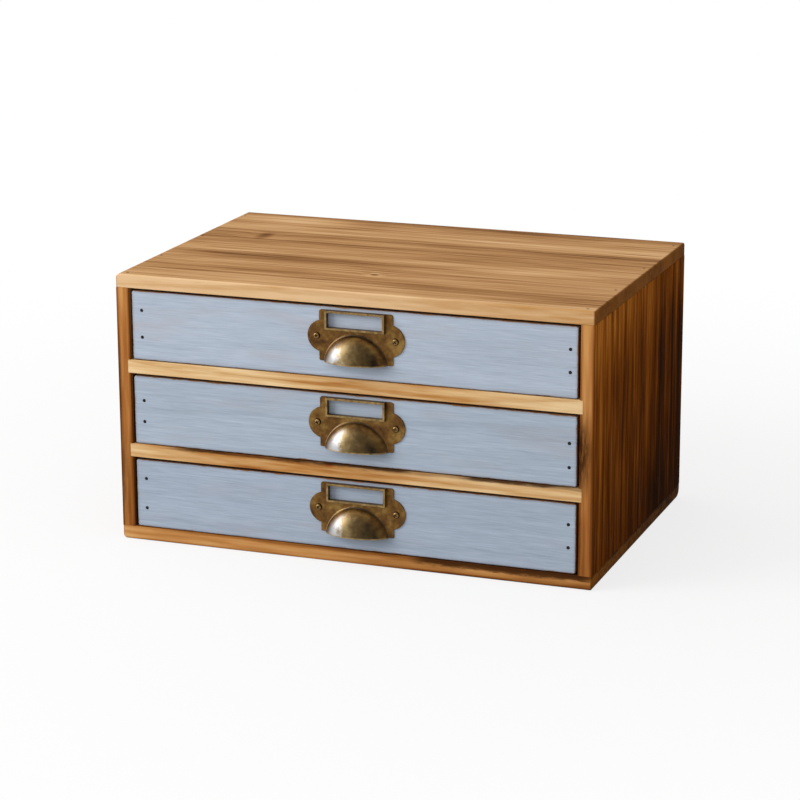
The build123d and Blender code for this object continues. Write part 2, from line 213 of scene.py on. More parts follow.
# %% Finish bench
class Finish(Bench):
    """One material, mixed from nodes that read the object's own coordinates."""

    def __init__(self, name):
        self.material = bpy.data.materials.new(name)
        self.material.use_nodes = True
        super().__init__(self.material.node_tree)
        self.place = self.add("ShaderNodeTexCoord", {}).outputs["Object"]

    def noise(self, where, stretch, seed=0.0, detail=2, rough=0.5):
        """Soft random values, 0 to 1. stretch is how many lumps fit in a metre along each axis."""
        spread = self.vector("MULTIPLY", where, stretch)
        moved = self.vector("ADD", spread, (seed * 7.3, seed * 3.1, seed * 5.7))
        inputs = {"Vector": moved, "Scale": 1.0, "Detail": detail, "Roughness": rough}
        return self.add("ShaderNodeTexNoise", inputs).outputs[0]

    def gather(self, base, parts):
        """base plus a weighed sum of random values, each counted from its middle."""
        total = base - sum(weight for _, weight in parts) / 2
        for value, weight in parts:
            total = self.push(total, value, weight)
        return total

    def tint(self, value, stops, interpolation="LINEAR"):
        """Colours along a ramp: a list of (place, colour), or (place, lightness) for a plain value."""
        made = self.add("ShaderNodeValToRGB", {"Fac": value})
        ramp = made.color_ramp
        ramp.interpolation = interpolation
        while len(ramp.elements) < len(stops):
            ramp.elements.new(0.5)
        for element, (at, tone) in zip(ramp.elements, stops):
            element.position = at
            element.color = tone if isinstance(tone, tuple) else grey(tone)
        return made.outputs[0]

    def mix(self, share, a, b):
        """Colour a where share is 0, and colour b where it is 1."""
        return self.add("ShaderNodeMix", {0: share, 6: a, 7: b}, data_type="RGBA").outputs[2]

    def spot(self, where, centre, size, soft):
        """1 inside an oval about centre, and 0 outside it. size holds its three half lengths."""
        off = self.vector("SUBTRACT", where, centre)
        scaled = self.vector("MULTIPLY", off, tuple(1 / s for s in size))
        return self.step(self.length(scaled), 1.0, 1.0 - soft)

    def surface(self, base, roughness, height, depth, **others):
        """The shader at the end: colour, gloss and a bump of height times depth in metres."""
        bump = self.add("ShaderNodeBump", {"Strength": 1.0, "Distance": depth, "Height": height})
        inputs = {"Base Color": base, "Roughness": roughness, "Normal": bump.outputs[0]}
        inputs.update({key.replace("_", " "): value for key, value in others.items()})
        shader = self.add("ShaderNodeBsdfPrincipled", inputs)
        self.add("ShaderNodeOutputMaterial", {"Surface": shader.outputs[0]})
        return self.material


def dress(node, material):
    """Puts a finish on a CAD node."""
    cad[node].data.materials.clear()
    cad[node].data.materials.append(material)
    print(node, "is finished in", material.name)


print("finish bench ready")

# %% [markdown]
# ## The floor
# The floor is a big pale sheet. Light that bounces off it reaches the chest as from pale paper. What the
# camera sees is mostly plain white, all of it white a metre away, so the page has no horizon, and near
# the chest enough of the sheet is left to keep the soft shadow.

# %% Lay the floor
def studio_floor():
    """Pale paper for the light, and a nearly white page for the eye."""
    sheet = Finish("pale_floor")
    mottle = sheet.noise(sheet.place, (3, 3, 3))
    path = sheet.add("ShaderNodeLightPath", {}).outputs
    seen = sheet.sum("MAXIMUM", path["Is Camera Ray"], path["Is Glossy Ray"])
    seen = sheet.sum("MAXIMUM", seen, path["Is Transmission Ray"])
    paper = sheet.mix(mottle, grey(0.50), grey(0.54))
    tone = sheet.mix(seen, paper, grey(0.90))
    matt = sheet.add("ShaderNodeBsdfDiffuse", {"Color": tone}).outputs[0]
    white = sheet.add("ShaderNodeEmission", {"Color": WHITE, "Strength": 1.0}).outputs[0]
    far = sheet.step(sheet.length(sheet.place), 0.25, 0.9, 0.76, 1.0)
    both = sheet.add("ShaderNodeMixShader", {0: sheet.times(seen, far), 1: matt, 2: white})
    sheet.add("ShaderNodeOutputMaterial", {"Surface": both.outputs[0]})
    return sheet.material


def flat_sheet(name, half, height, material):
    """A level square about the middle. half is half its width."""
    mesh = bpy.data.meshes.new(name)
    corners = [(x * half, y * half, height) for x, y in ((-1, -1), (1, -1), (1, 1), (-1, 1))]
    mesh.from_pydata(corners, [], [(0, 1, 2, 3)])
    mesh.materials.append(material)
    return put_in_scene(name, mesh)


floor = flat_sheet("floor", half=30, height=-0.0002, material=studio_floor())
print("floor laid")

# %% [markdown]
# ## Torched pine
# The boards are sawn pine, brushed with a flame. The flame turns the hard grain dark and leaves the soft
# wood between it honey brown. A picture of wood wrapped round the board is one way to make it. A solid
# pattern is better here: rings are drawn round the heart of an imagined trunk, and streaks run the whole
# length of the board, so the lines on a face, its edge and its end always meet.
#
# Everything is first added up as one shade from dark to light. A ramp then turns the shade into the
# colours of wood: char, toast, honey and pale.

# %% Pine recipe
# How hard the wood is from the start of a ring, 0, to its end, 1.
RING_PROFILE = [(0, 0.0), (0.35, 0.10), (0.74, 0.85), (0.88, 1.0), (1.0, 0.0)]


def along_the_grain(wood, order):
    """The place, turned so that X runs along the grain, Y across the board's face and Z into it."""
    by_name = dict(zip("XYZ", wood.split(wood.place)))
    return wood.join(*[by_name[axis] for axis in order])


def waver(wood, grain, seed, by=0.006):
    """The grain, bent gently to and fro, so that no streak is ruled straight."""
    spread = wood.vector("MULTIPLY", grain, (9, 22, 22))
    inputs = {"Vector": spread, "Scale": 1.0, "Detail": 2.0, "W": seed}
    swing = wood.add("ShaderNodeTexNoise", inputs, noise_dimensions="4D").outputs["Color"]
    bend = wood.vector("MULTIPLY", wood.vector("SUBTRACT", swing, (0.5, 0.5, 0.5)), (0, by, by))
    return wood.vector("ADD", grain, bend)


def rings(wood, grain, heart, ring, seed, knots=()):
    """How hard the wood is: 0 for soft, up to 1 in the dark part of a ring.

    heart is where the trunk's middle lies, across and into the board, and ring is one ring's width.
    """
    sway = wood.noise(grain, (1.6, 9, 9), seed)
    ripple = wood.noise(grain, (10, 70, 70), seed + 1)
    from_heart = wood.vector("SUBTRACT", grain, (0, *heart))
    radius = wood.length(wood.vector("MULTIPLY", from_heart, (0, 1, 1)))
    bent = wood.gather(0.0, [(sway, 7 * ring), (ripple, 0.9 * ring)])
    bent = wood.sum("ADD", radius, bent)
    for centre, size, by in knots:
        bent = wood.push(bent, wood.spot(grain, centre, size, 1.0), by)
    count = wood.sum("DIVIDE", bent, ring)
    own = wood.add("ShaderNodeTexWhiteNoise", {"W": wood.sum("FLOOR", count)}, noise_dimensions="1D")
    hard = wood.tint(wood.sum("FRACT", count), RING_PROFILE, "EASE")
    return wood.times(hard, own.outputs["Value"])


def streaks(wood, grain, seed, widths, drawn=40):
    """Noise drawn out along the grain, as parts for gather.

    widths holds how many streaks fit in a metre across, and the weight. A higher drawn makes them
    longer.
    """
    return [(wood.noise(grain, (across / drawn + 1.5, across, across), seed + i), weight)
            for i, (across, weight) in enumerate(widths)]


def darkened(wood, shade, falls):
    """The shade after some falls, each a value, where it starts and ends to count, and its push."""
    for value, low, high, by in falls:
        shade = wood.push(shade, wood.step(value, low, high), by)
    return shade


def wood_surface(wood, tone, shade, hard, depth=0.0003, gloss=0.66, shine=0.01):
    """Matt wood. The hard rings stand a little proud, as they do after brushing."""
    height = wood.gather(0.5, [(hard, 0.6), (shade, 0.5)])
    roughness = wood.step(hard, 0.0, 1.0, gloss, gloss - 0.12)
    return wood.surface(tone, roughness, height, depth, Specular_IOR_Level=shine)


print("pine recipe ready")

# %% [markdown]
# ### The top board
# It is honey brown with soft lighter and darker bands from front to back, a long knot on the left, a
# small round one in front of the middle and a few dark streaks. The flame missed the front edge, which
# stays pale, and burnt the sawn ends. The bands lie at fixed places across the board, so a ramp over the
# depth is enough for them, and a little sway keeps their edges from being straight.

# %% Colours and marks of the top board
CASE_END = 0.180
CASE_FRONT = -0.120
CASE_DEPTH = 0.24
TOP_FACE = 0.2

CHAR = colour(62, 34, 14)
TOAST = colour(140, 96, 56)
HONEY = colour(181, 134, 86)
STRAW = colour(212, 167, 117)
PALE = colour(228, 190, 144)
AMBER = colour(198, 148, 92)

# How far back a band lies, as a share of the depth, and its shade.
TOP_BANDS = [(0.0, 0.62), (0.05, 0.48), (0.13, 0.46), (0.165, 0.30), (0.19, 0.56), (0.27, 0.54),
             (0.31, 0.44), (0.40, 0.42), (0.43, 0.60), (0.52, 0.52), (0.58, 0.40), (0.66, 0.34),
             (0.72, 0.38), (0.755, 0.74), (0.80, 0.72), (0.84, 0.46), (0.94, 0.38), (1.0, 0.28)]

# A knot's centre and half lengths, and how far it pushes the rings aside.
TOP_KNOTS = [((-0.130, 0.037, TOP_FACE), (0.040, 0.022, 0.03), 0.012),
             ((-0.002, -0.063, TOP_FACE), (0.020, 0.011, 0.03), 0.008)]

# A mark's centre and half lengths, its push to dark or light, and how soft its rim is.
TOP_MARKS = [((-0.070, -0.028, TOP_FACE), (0.130, 0.019, 0.03), -0.30, 1.0),
             ((0.110, -0.022, TOP_FACE), (0.110, 0.014, 0.03), 0.22, 1.0),
             ((-0.130, 0.100, TOP_FACE), (0.080, 0.030, 0.03), 0.34, 1.0),
             ((-0.0015, -0.063, TOP_FACE), (0.012, 0.008, 0.03), 0.30, 0.9),
             ((0.060, 0.105, TOP_FACE), (0.090, 0.014, 0.03), -0.16, 1.0),
             ((-0.130, 0.037, TOP_FACE), (0.009, 0.017, 0.03), -0.30, 0.9),
             ((-0.0015, -0.063, TOP_FACE), (0.0046, 0.0036, 0.03), -0.55, 0.7),
             ((0.160, 0.064, TOP_FACE), (0.030, 0.0020, 0.02), -0.42, 0.7),
             ((-0.140, -0.013, TOP_FACE), (0.030, 0.003, 0.02), -0.18, 0.8),
             ((0.120, -0.1135, TOP_FACE), (0.055, 0.0012, 0.02), -0.25, 0.6)]
print(len(TOP_BANDS), "stops of the bands,", len(TOP_KNOTS), "knots and", len(TOP_MARKS), "marks")

# %% Finish the top board
def end_wood(wood, x):
    """1 on the sawn ends of a long board."""
    return wood.step(wood.sum("ABSOLUTE", x), CASE_END - 0.0015, CASE_END - 0.0001)


def top_board_finish():
    wood = Finish("torched_top")
    grain = along_the_grain(wood, "XYZ")
    x, across, _ = wood.split(grain)
    hard = rings(wood, grain, (-0.26, 0.10), 0.0052, 3.0, TOP_KNOTS)
    sway = wood.noise(grain, (3, 16, 16), 8.0)
    swayed = wood.push(across, wood.sum("SUBTRACT", sway, 0.5), 0.014)
    bands = wood.tint(wood.push(0.5, swayed, 1 / CASE_DEPTH), TOP_BANDS, "EASE")
    bent = waver(wood, grain, 5.0, 0.004)
    fine = streaks(wood, bent, 4.0, [(28, 0.4), (110, 0.8), (420, 0.75)], 28)
    shade = wood.gather(0.50, [(hard, -0.22), (bands, 0.85), *fine])
    # Painted light: the shade rises towards the board's right end, to even out the lamp on the left.
    shade = wood.push(shade, x, 0.25)
    for centre, size, by, soft in TOP_MARKS:
        shade = wood.push(shade, wood.spot(grain, centre, size, soft), by)
    tone = wood.tint(shade, [(0.0, CHAR), (0.24, TOAST), (0.5, HONEY), (0.8, STRAW), (1.0, PALE)])
    edge_fine = streaks(wood, grain, 12.0, [(40, 0.6), (130, 0.8), (500, 0.6)], 12)
    edge_shade = wood.push(wood.gather(0.42, [(hard, -0.3), *edge_fine]), x, -1.3)
    edge_tone = wood.tint(edge_shade, [(0.1, AMBER), (0.7, PALE)])
    tone = wood.mix(wood.step(across, CASE_FRONT + 0.0028, CASE_FRONT + 0.0008), tone, edge_tone)
    burnt_end = wood.tint(shade, [(0.2, colour(112, 66, 22)), (0.8, colour(152, 94, 38))])
    tone = wood.mix(end_wood(wood, x), tone, burnt_end)
    return wood_surface(wood, tone, shade, hard)


dress("top_board", top_board_finish())

# %% [markdown]
# ### The two sides
# The sides took most of the flame: dark upright streaks a few millimetres wide on brown. Their colour
# grows darker towards the back and the foot. Their front edges are lighter and more orange, scorched in
# places. The pine recipe makes them, with a shade that falls towards the back. The left side stands in the
# lamp's light, so it gets a duller, less contrasty copy of the colours: painted shade that keeps it
# looking like its twin in the shade.

# %% Finish the sides
SIDE_MIDDLE = 0.175
SIDE_STREAKS = [(24, 0.35), (66, 0.95), (190, 0.95), (620, 0.75)]
SHADED_SIDE = [(0.0, colour(42, 19, 2)), (0.25, colour(86, 41, 6)), (0.5, colour(126, 66, 14)),
               (0.8, colour(172, 98, 29)), (1.0, colour(206, 128, 48))]
# Painted shade: duller, less contrasty colours for the left side, which stands in the lamp's light, so
# that it looks like the right side in the shade.
LIT_SIDE_WITH_PAINTED_SHADE = [(0.0, colour(64, 37, 17)), (0.3, colour(100, 63, 32)), (0.6, colour(140, 95, 52)),
            (0.9, colour(178, 130, 79))]
SIDE_EDGE = [(0.0, colour(118, 66, 26)), (0.4, colour(168, 106, 52)), (0.8, colour(208, 150, 88))]

# A scorch mark's centre and half lengths along, across and through the board, and how dark it is.
RIGHT_SCORCHES = [((0.098, CASE_FRONT, 0.1685), (0.042, 0.02, 0.0155), 1.0),
                  ((0.040, CASE_FRONT, 0.1685), (0.042, 0.02, 0.0055), 0.7),
                  ((0.150, CASE_FRONT, 0.1685), (0.030, 0.02, 0.0035), 0.6)]
LEFT_SCORCHES = [((0.050, CASE_FRONT, -0.180), (0.050, 0.02, 0.010), 0.6),
                 ((0.12, CASE_FRONT, -0.180), (0.06, 0.02, 0.004), 0.6)]


def side_edge(wood, grain, seed, base, scorches):
    """The colour of the narrow front face, toasted along both arrises and scorched in places."""
    up, _, through = wood.split(grain)
    shade = wood.gather(base, streaks(wood, grain, seed + 9, [(90, 0.9), (350, 0.8)], 20))
    off = wood.sum("SUBTRACT", wood.sum("ABSOLUTE", through), SIDE_MIDDLE)
    from_middle = wood.sum("ABSOLUTE", off)
    shade = darkened(wood, shade, [(up, 0.19, 0.14, -0.20), (up, 0.13, 0.0, -0.20),
                                   (from_middle, 0.0026, 0.0048, -0.40)])
    edge = wood.tint(shade, SIDE_EDGE)
    broken = wood.noise(grain, (70, 420, 420), seed + 5, detail=5, rough=0.65)
    for centre, size, dark in scorches:
        ragged = wood.step(broken, 0.36, 0.56, 0.62 * dark, dark)
        burnt = wood.times(wood.spot(grain, centre, size, 0.8), ragged)
        edge = wood.mix(burnt, edge, CHAR)
    return edge


def side_board_finish(name, seed, base, tones, edge_base, scorches):
    wood = Finish(name)
    grain = along_the_grain(wood, "ZYX")
    up, across, _ = wood.split(grain)
    hard = rings(wood, grain, (0.33, 0.02), 0.0085, seed)
    patch = wood.noise(grain, (9, 26, 26), seed + 1, detail=4)
    grown = streaks(wood, waver(wood, grain, seed), seed + 2, SIDE_STREAKS, 24)
    shade = wood.gather(base, [(hard, -0.25), (patch, 0.45), *grown])
    shade = darkened(wood, shade, [(up, 0.185, 0.13, -0.26), (up, 0.11, 0.0, -0.18),
                                   (across, CASE_FRONT, 0.11, -0.34)])
    on_the_edge = wood.step(across, CASE_FRONT + 0.0020, CASE_FRONT + 0.0003)
    edge = side_edge(wood, grain, seed, edge_base, scorches)
    tone = wood.mix(on_the_edge, wood.tint(shade, tones), edge)
    return wood_surface(wood, tone, shade, hard, depth=0.0005, gloss=0.75, shine=0.005)


dress("right_side", side_board_finish("torched_right_side", 11.0, base=0.75, tones=SHADED_SIDE,
                                      edge_base=0.74, scorches=RIGHT_SCORCHES))
dress("left_side", side_board_finish("torched_left_side", 14.0, base=0.80, tones=LIT_SIDE_WITH_PAINTED_SHADE,
                                     edge_base=0.58, scorches=LEFT_SCORCHES))

# %% [markdown]
# ### The bottom board
# Its front edge is orange brown, a little darker on the right and along both arrises. Right of the middle
# the flame left a ragged black line along the upper arris. The sawn ends are burnt dark, and darker
# towards the back. A line drawn by hand would do for the black one, but a height that noise makes uneven
# gives the broken rim that a flame leaves.

# %% Finish the bottom board
CASE_FLOOR = 0.010
BOTTOM_TONES = [(0.0, colour(104, 56, 22)), (0.3, colour(154, 98, 46)), (0.6, colour(190, 132, 74)),
                (0.9, colour(214, 162, 102))]


def bottom_board_finish():
    wood = Finish("torched_bottom")
    grain = along_the_grain(wood, "XYZ")
    x, across, up = wood.split(grain)
    hard = rings(wood, grain, (-0.25, 0.2), 0.006, 21.0)
    patch = wood.noise(grain, (16, 60, 60), 4.0, detail=3)
    fine = streaks(wood, grain, 22.0, [(60, 0.6), (260, 1.0)], 16)
    shade = wood.gather(0.48, [(hard, -0.3), (patch, 0.4), *fine])
    from_middle = wood.sum("ABSOLUTE", wood.sum("SUBTRACT", up, CASE_FLOOR / 2))
    shade = darkened(wood, shade, [(x, -0.02, 0.06, -0.24), (from_middle, 0.0024, 0.0046, -0.34)])
    tone = wood.tint(shade, BOTTOM_TONES)
    ragged = wood.push(up, wood.noise(grain, (70, 420, 420), 9.0, detail=5, rough=0.65), 0.007)
    high_up = wood.step(ragged, CASE_FLOOR - 0.0018, CASE_FLOOR + 0.0008)
    burnt = wood.times(high_up, wood.step(patch, 0.34, 0.44))
    reach = wood.spot(grain, (0.115, CASE_FRONT, CASE_FLOOR), (0.075, 0.03, 0.03), 0.25)
    tone = wood.mix(wood.times(wood.times(burnt, reach), 0.9), tone, CHAR)
    end_shade = wood.push(shade, across, -2.4)
    burnt_end = wood.tint(end_shade, [(0.0, colour(54, 27, 2)), (0.7, colour(146, 89, 27))])
    tone = wood.mix(end_wood(wood, x), tone, burnt_end)
    return wood_surface(wood, tone, shade, hard)


dress("bottom_board", bottom_board_finish())

# %% [markdown]
# ### The shelves
# Only their pale front edges show between the drawers, toasted for a stretch near the middle. The lower
# one is scorched along its upper edge, with a reddish spot under the middle drawer's pull. One recipe
# makes both, and the scorch is a step of its own that only the lower one gets.

# %% Finish the shelves
UPPER_SHELF_TOP = 0.13667
LOWER_SHELF_TOP = 0.07333
SHELF_TONES = [(0.0, colour(150, 88, 40)), (0.28, colour(190, 134, 74)), (0.7, colour(220, 180, 127)),
               (1.0, colour(236, 203, 154))]


def scorched_upper_edge(wood, grain, tone, patch, seed, top):
    """The colour with a reddish spot, and a ragged dark line along the upper edge."""
    x, _, up = wood.split(grain)
    red = wood.spot(grain, (-0.016, CASE_FRONT, top), (0.006, 0.01, 0.004), 0.9)
    tone = wood.mix(red, tone, colour(150, 62, 30))
    ragged = wood.push(up, wood.noise(grain, (50, 420, 420), seed + 6, detail=5, rough=0.65), 0.004)
    line = wood.times(wood.step(ragged, top - 0.0008, top + 0.0014), wood.step(x, -0.155, -0.120))
    return wood.mix(wood.times(line, wood.step(patch, 0.35, 0.55, 0.4, 0.95)), tone, CHAR)


def shelf_finish(name, seed, top, base, toasted, reach, by, scorched):
    """toasted is where along the shelf its toasted stretch lies, and reach how far that goes."""
    wood = Finish(name)
    grain = along_the_grain(wood, "XYZ")
    hard = rings(wood, grain, (-0.28, 0.3), 0.006, seed)
    patch = wood.noise(grain, (18, 110, 110), seed + 4, detail=3)
    fine = streaks(wood, grain, seed, [(90, 0.6), (350, 1.1)], 16)
    shade = wood.gather(base, [(hard, -0.25), (patch, 0.5), *fine])
    stretch = wood.spot(grain, (toasted, CASE_FRONT, top), (reach, 0.05, 0.05), 1.0)
    shade = wood.push(shade, stretch, by)
    tone = wood.tint(shade, SHELF_TONES)
    if scorched:
        tone = scorched_upper_edge(wood, grain, tone, patch, seed, top)
    return wood_surface(wood, tone, shade, hard)


dress("upper_shelf", shelf_finish("pale_upper_shelf", 31.0, UPPER_SHELF_TOP, base=0.72, toasted=0.05,
                                  reach=0.12, by=-0.42, scorched=False))
dress("lower_shelf", shelf_finish("pale_lower_shelf", 35.0, LOWER_SHELF_TOP, base=0.59, toasted=-0.075,
                                  reach=0.17, by=-0.46, scorched=True))

# %% [markdown]
# ### Bare wood inside
# Drawer sides and backs are the same pine without flame. The back panel and the drawer floors are thin
# plywood, whose face veneer shows wide soft figure. One recipe makes both, and only the colours and the
# place of the trunk's heart differ. For veneer it lies straight behind the face, so the rings are cut
# nearly flat and look wide. For the planed boards it lies aslant, which draws narrower lines.

# %% Finish the inside
DRAWERS = ("bottom", "middle", "top")
PLANED = (colour(228, 194, 146), colour(184, 136, 84))
VENEER = (colour(216, 180, 134), colour(178, 134, 88))
PLANED_HEART = (-0.2, 0.25)


def bare_finish(name, order, heart, seed, light, dark):
    wood = Finish(name)
    grain = along_the_grain(wood, order)
    hard = rings(wood, grain, heart, 0.007, seed)
    fine = streaks(wood, grain, seed, [(40, 0.6), (200, 0.9), (800, 0.7)])
    shade = wood.gather(0.55, [(hard, -0.7), *fine])
    tone = wood.tint(shade, [(0.1, dark), (0.8, light)])
    return wood_surface(wood, tone, shade, hard, depth=0.0002)


dress("back_panel", bare_finish("plywood_back", "ZXY", (0.03, -0.28), 41.0, *VENEER))
for count, name in enumerate(DRAWERS):
    drawer = name + "_drawer_"
    side_pine = bare_finish(drawer + "side_pine", "YZX", PLANED_HEART, 43.0 + count, *PLANED)
    back_pine = bare_finish(drawer + "back_pine", "XZY", PLANED_HEART, 47.0 + count, *PLANED)
    floor_ply = bare_finish(drawer + "floor_ply", "XYZ", (0.02, -0.28), 51.0 + count, *VENEER)
    dress(drawer + "left_side", side_pine)
    dress(drawer + "right_side", side_pine)
    dress(drawer + "back", back_pine)
    dress(drawer + "floor", floor_ply)

# %% [markdown]
# ## Blue-grey paint
# The fronts were brushed with a thin milky blue, so the grain still draws fine lines through it, and a
# little warm wood shines through here and there. Edges and corners were rubbed until the wood came
# through, and the narrow faces round the board are toasted brown. How near a point is to them is worked
# out from its place, and noise breaks the rubbed line up. The back of the board was never painted.

# %% Paint the drawer fronts
PAINT_DEPTH = 0.0085
PAINT_STREAKS = [(60, 0.15), (300, 0.22), (1000, 0.5), (2000, 0.4)]


def blue_coat(paint, grain, shade, seed, mid):
    """The paint's colour about the middle one, a little warmer in clouds."""
    darker = colour(*[v - 20 for v in mid])
    lighter = colour(*[v + 18 for v in mid])
    tone = paint.tint(shade, [(0.2, darker), (0.5, colour(*mid)), (0.8, lighter)])
    clouds = paint.noise(grain, (14, 80, 80), seed + 2, detail=4)
    red, green, blue = mid
    warmer = colour(red + 4, green - 8, blue - 16)
    return paint.mix(paint.step(clouds, 0.5, 0.8, 0.0, 0.6), tone, warmer)


def painted_front_finish(name, seed, worn, mid):
    """worn is about how far the wear reaches in from the board's outline, in metres."""
    low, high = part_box(name)
    paint = Finish(name + "_paint")
    grain = along_the_grain(paint, "XZY")
    hard = rings(paint, grain, (0.3, 0.2), 0.006, seed)
    lines = streaks(paint, grain, seed, PAINT_STREAKS, 26)
    shade = paint.gather(0.5, [(hard, -0.10), *lines])
    tone = blue_coat(paint, grain, shade, seed, mid)
    off = paint.vector("ABSOLUTE", paint.vector("SUBTRACT", paint.place, tuple((low + high) / 2)))
    gap = paint.split(paint.vector("SUBTRACT", tuple((high - low) / 2), off))
    nearest = paint.sum("MINIMUM", gap[0], gap[2])
    ragged = paint.noise(paint.place, (90, 90, 160), seed + 3, detail=4, rough=0.65)
    rubbed = paint.step(paint.push(nearest, paint.step(ragged, 0.4, 0.8), -worn), 0.0006, -0.0001)
    wood_shade = paint.gather(0.4, [(hard, -0.3), (ragged, 0.8)])
    wood_tone = paint.tint(wood_shade, [(0.1, colour(62, 38, 22)), (0.8, colour(140, 98, 60))])
    behind = low.y + PAINT_DEPTH
    unpainted = paint.step(paint.split(paint.place)[1], behind, behind + 0.001)
    light, dark = PLANED
    tone = paint.mix(paint.step(nearest, 0.0024, 0.0003, 0.0, 0.35), tone, colour(104, 98, 98))
    tone = paint.mix(rubbed, tone, wood_tone)
    tone = paint.mix(unpainted, tone, paint.tint(shade, [(0.3, dark), (0.7, light)]))
    roughness = paint.step(shade, 0.2, 0.8, 0.72, 0.58)
    return paint.surface(tone, roughness, shade, 0.00016, Specular_IOR_Level=0.2)


# How far the wear reaches in, and the middle colour. The middle colour is darker on lower fronts: painted
# shade for the light that falls off towards the foot.
FRONTS = {"bottom": (0.0008, (161, 173, 189)),
          "middle": (0.0010, (165, 177, 192)),
          "top": (0.0007, (173, 184, 199))}
for count, name in enumerate(DRAWERS):
    front = name + "_drawer_front"
    dress(front, painted_front_finish(front, 61.0 + 5 * count, *FRONTS[name]))

# %% [markdown]
# ## Antique brass
# The pulls are stamped brass, darkened to bronze and then rubbed. What stands out was rubbed most, so the
# cup is smoother than the plate behind it. Its colour is painted light over the rubbed metal: a silvery
# grey painted highlight on its left, towards the lamp, and painted shade in dark brown on its right. The
# plate stays brown with ochre clouds. The label frame's rim and the lip are paler, and a painted highlight
# runs along the cup's foot, brightest on the left. A pull is one piece of metal, so one finish dresses all
# of it. How far a point stands out from the plate, and how high it is, say whether it is plate, label
# frame, lip or cup. The three pulls are alike, so heights are counted from each drawer's own foot.

# %% Brass for the pulls
DRAWER_PITCH = 0.0633333
PLATE_FACE = -0.120


def antique_brass_finish():
    brass = Finish("antique_brass")
    mottle = brass.noise(brass.place, (260, 260, 260), 2.0, detail=4, rough=0.6)
    cloud = brass.noise(brass.place, (90, 90, 90), 3.0, detail=3)
    x, out, up = brass.split(brass.place)

    def stands_out(least, most):
        """0 up to least in front of the plate, and 1 from most on. Swapped, it falls instead."""
        return brass.step(out, PLATE_FACE - least, PLATE_FACE - most)

    cup = stands_out(0.0036, 0.0085)
    height = brass.sum("MODULO", brass.sum("SUBTRACT", up, CASE_FLOOR), DRAWER_PITCH)
    label = brass.step(height, 0.0338, 0.0342)
    frame_rim = brass.times(label, stands_out(0.0029, 0.0033))
    cup_foot = brass.times(stands_out(0.0001, 0.0004), stands_out(0.0020, 0.0012))
    foot_line = brass.times(cup_foot, brass.sum("SUBTRACT", 1.0, label))
    lip = brass.times(brass.step(height, 0.0136, 0.0126), stands_out(0.0004, 0.0010))
    dark = brass.tint(brass.gather(0.5, [(cloud, 1.2), (mottle, 0.9)]),
                      [(0.2, colour(74, 48, 24)), (0.5, colour(108, 76, 36)), (0.8, colour(140, 110, 58))])
    bright = brass.tint(mottle, [(0.35, colour(124, 98, 56)), (0.65, colour(176, 152, 104))])
    # worn holds mottled wear and painted light: through x it rises on the left of the cup and falls on its
    # right. The ramp turns it into a silvery painted highlight on the left and painted shade in dark brown
    # on the right.
    worn = brass.push(brass.gather(0.58, [(cloud, 0.45), (mottle, 0.45)]), x, -26.0)
    rubbed = brass.tint(worn, [(0.0, colour(24, 17, 8)), (0.35, colour(80, 61, 29)),
                               (0.6, colour(124, 104, 66)), (0.74, colour(163, 163, 164))])
    tone = brass.mix(cup, dark, rubbed)
    rims = brass.sum("MAXIMUM", brass.times(frame_rim, 0.6), brass.times(lip, 0.8))
    tone = brass.mix(rims, tone, bright)
    # A painted highlight along the cup's foot, brightest on the left.
    painted_foot_highlight = brass.times(foot_line, brass.step(x, 0.030, -0.010, 0.1, 0.9))
    tone = brass.mix(painted_foot_highlight, tone, colour(226, 212, 176))
    gloss = brass.gather(0.40, [(mottle, 0.2), (cup, -0.05)])
    polish = brass.times(cup, brass.step(x, 0.022, -0.004, 0.05, 0.35))
    return brass.surface(tone, gloss, mottle, 0.00006, Metallic=0.9, Coat_Weight=polish,
                         Coat_Roughness=0.22)


pull_brass = antique_brass_finish()
for name in DRAWERS:
    dress(name + "_drawer_cup_pull", pull_brass)

# %% [markdown]
# ## Nails and screws
# Fastenings repeat, so Geometry Nodes make them. A jig is a tree with named sizes. It gets a few points,
# each with the direction that the head faces, sets a nail or a screw on each, turns it by chance about
# its own axis, and joins them into one mesh. Placing every nail by hand would work too, but a jig keeps
# them all alike, and a changed size changes them all.

